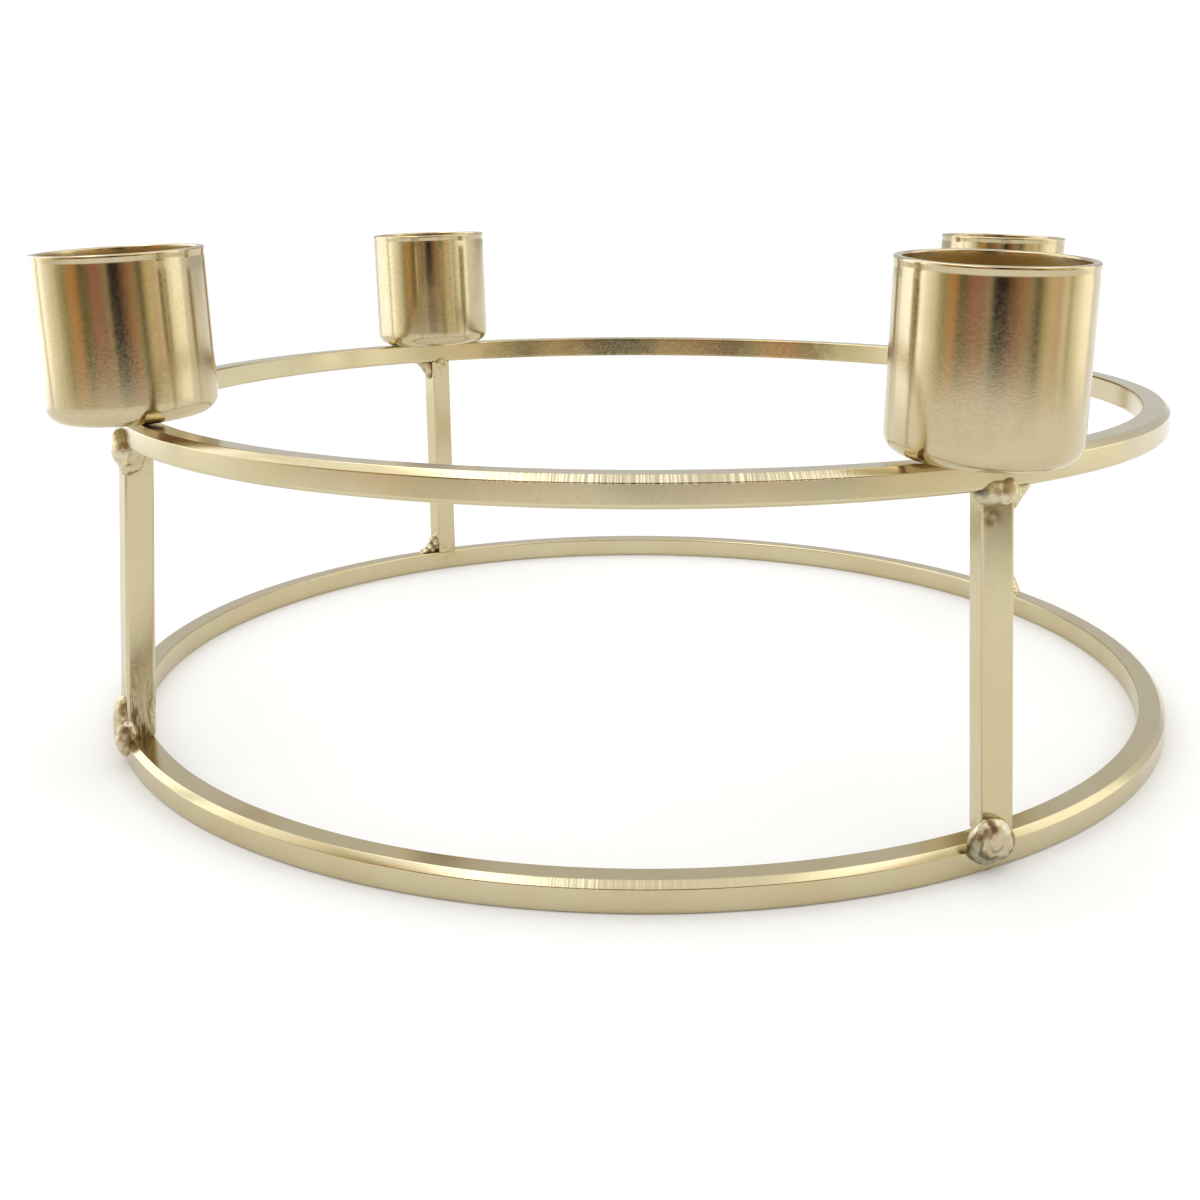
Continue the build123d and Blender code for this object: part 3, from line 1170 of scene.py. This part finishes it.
def add_surround():
    """A curved wall round the camera's side that only reflections see."""
    first, last = SURROUND[0][0], SURROUND[-1][0]
    steps = 120
    vertices, faces = [], []
    rows = len(SURROUND_PROFILE)
    for step in range(steps + 1):
        turn = radians(first + (last - first) * step / steps)
        for radius, height in SURROUND_PROFILE:
            vertices.append((radius * sin(turn) * MM, -radius * cos(turn) * MM, height * MM))
    for step in range(steps):
        for row in range(rows - 1):
            corner = step * rows + row
            faces.append((corner, corner + 1, corner + rows + 1, corner + rows))
    mesh = bpy.data.meshes.new("room")
    mesh.from_pydata(vertices, [], faces)
    mesh.materials.append(surround_material())
    wall = bpy.data.objects.new("room", mesh)
    wall.matrix_world = Matrix.Rotation(VIEW_TURN, 4, "Z")
    wall.visible_camera = False
    wall.visible_diffuse = False
    wall.visible_shadow = False
    wall.visible_transmission = False
    bpy.context.scene.collection.objects.link(wall)


# Brightness overhead, as (how far to the camera's right the direction points, level)
OVERHEAD = (
    (-0.75, 1.25),
    (-0.50, 1.35),
    (-0.43, 3.2),
    (-0.29, 3.2),
    (-0.22, 1.15),
    (0.34, 1.10),
    (0.45, 2.1),
    (0.60, 2.1),
    (0.70, 1.2),
)
NEAR_WALLS = (1.25, 1.25, 1.2)
FAR_WALLS = (0.70, 0.70, 0.70)
FILL_LIGHT = (1.24, 1.24, 1.24)
BACKDROP = (1.05, 1.05, 1.05)


def add_world():
    """Even white light, and for reflections two bright strips overhead and dimmer walls behind."""
    world = bpy.data.worlds.new("studio")
    world.use_nodes = True
    bpy.context.scene.world = world
    graph = Graph(world.node_tree)
    direction = graph.add("TexCoord").outputs["Generated"]
    height = graph.add("SeparateXYZ", {0: direction}).outputs[2]
    behind = (-sin(VIEW_TURN), cos(VIEW_TURN), 0.0)
    rightward = (cos(VIEW_TURN), sin(VIEW_TURN), 0.0)
    facing = graph.add("VectorMath", {0: direction, 1: behind}, operation="DOT_PRODUCT")
    sideways = graph.add("VectorMath", {0: direction, 1: rightward}, operation="DOT_PRODUCT")
    back = graph.remap(facing.outputs["Value"], 0.05, 0.75)
    walls = graph.mix(back, (*NEAR_WALLS, 1), (*FAR_WALLS, 1))
    share = graph.math("MULTIPLY_ADD", sideways.outputs["Value"], 0.5, 0.5)
    stops = [((side + 1) / 2, (level, level, level * 0.98)) for side, level in OVERHEAD]
    overhead = graph.ramp(share, stops)
    seen = graph.mix(graph.remap(height, 0.5, 0.8), walls, overhead)
    path = graph.add("LightPath")
    plain = graph.mix(path.outputs["Is Camera Ray"], (*FILL_LIGHT, 1), (*BACKDROP, 1))
    colour = graph.mix(path.outputs["Is Glossy Ray"], plain, seen)
    light = graph.add("Background", {"Color": colour, "Strength": 1.0})
    graph.add("OutputWorld", {"Surface": light.outputs[0]})
    bpy.context.scene.view_settings.view_transform = "Standard"


# --- Everything -------------------------------------------------------------------------------------------


# Heat colours round a joint, and at two spots painted reflection and painted shadow, as (reach, strength)
LOWER_RING_HEAT = (5 * MM, 0.4)
UPPER_RING_HEAT = (4.5 * MM, 0.35)
# A painted ochre reflection on the lower ring's top beside the left post's foot
LEFT_FOOT_PAINTED_REFLECTION = (7.5 * MM, 0.9)
# A painted contact shadow on the upper ring round the left cup's weld
LEFT_CUP_PAINTED_SHADOW = (12 * MM, 0.7)
POST_FOOT_HEAT = (5 * MM, 0.5)
POST_HEAD_HEAT = (6 * MM, 0.4)
CURL_HEAT = (2.4 * MM, 0.8)

# A curl of heat colour on the front post, in millimetres from its head
FRONT_CURL = (1.8, -1.9, -3.5)

# How far above the table the left post is stained
LEFT_STAIN_TO = 17 * MM

LOWER_MARKS = Marks(-133, -118, 0.4)
UPPER_MARKS = Marks(-132, -105, 0.9)
# How strongly the painted reflections show on the upper ring's inner face
UPPER_PAINTED_REFLECTION = 0.95

FOOT_SPOT = {name: foot_place(name).translation for name in STATION_NAMES}
HEAD_SPOT = {name: head_place(name).translation for name in STATION_NAMES}


def build_rings(seam_look):
    """Both rings with their seams."""
    lower_spots = [(FOOT_SPOT[name], *LOWER_RING_HEAT) for name in STATION_NAMES]
    # Painted reflection beside the left post's foot
    lower_spots.append((FOOT_SPOT["left"], *LEFT_FOOT_PAINTED_REFLECTION))
    upper_spots = [(HEAD_SPOT[name], *UPPER_RING_HEAT) for name in STATION_NAMES]
    # Painted contact shadow round the left cup's weld
    upper_spots.append((box_middle("cup_weld_left"), *LEFT_CUP_PAINTED_SHADOW))
    lower_look = ring_material("plated_lower_ring", lower_spots, LOWER_MARKS)
    upper_look = ring_material("plated_upper_ring", upper_spots, UPPER_MARKS, UPPER_PAINTED_REFLECTION)
    build_ring(LOWER, lower_look, seam_look, seed=1)
    build_ring(UPPER, upper_look, seam_look, seed=2)


def build_station(index, name, weld_look):
    """One post with the cup over it and their three welds."""
    spots = [(FOOT_SPOT[name], *POST_FOOT_HEAT), (HEAD_SPOT[name], *POST_HEAD_HEAT)]
    if name == "front":
        spots.append((head_place(name) @ (Vector(FRONT_CURL) * MM), *CURL_HEAT))
    stain_to = LEFT_STAIN_TO if name == "left" else 0.0
    build_post(name, post_material(f"plated_post_{name}", spots, stain_to), seed=10 + index)
    build_cup(name, cup_material(f"plated_cup_{name}", CUP_SPECKLE[name]), seed=20 + index)
    foot, head = f"post_foot_weld_{name}", f"post_head_weld_{name}"
    build_weld(foot, POST_WELDS[foot], foot_place(name), weld_look, seed=30 + index)
    build_weld(head, POST_WELDS[head], head_place(name), weld_look, seed=40 + index)
    under_cup = f"cup_weld_{name}"
    joint = place(angle_of(box_middle(under_cup)), UPPER.middle, UPPER.high)
    build_weld(under_cup, cup_weld(name), joint, weld_look, seed=50 + index)


def build_pieces():
    """Every piece of the frame."""
    seam_look = seam_material("ground_weld")
    weld_look = weld_material("weld_bead")
    build_rings(seam_look)
    for index, name in enumerate(STATION_NAMES):
        build_station(index, name, weld_look)


build_pieces()
add_floor()
add_surround()
add_world()
add_camera()
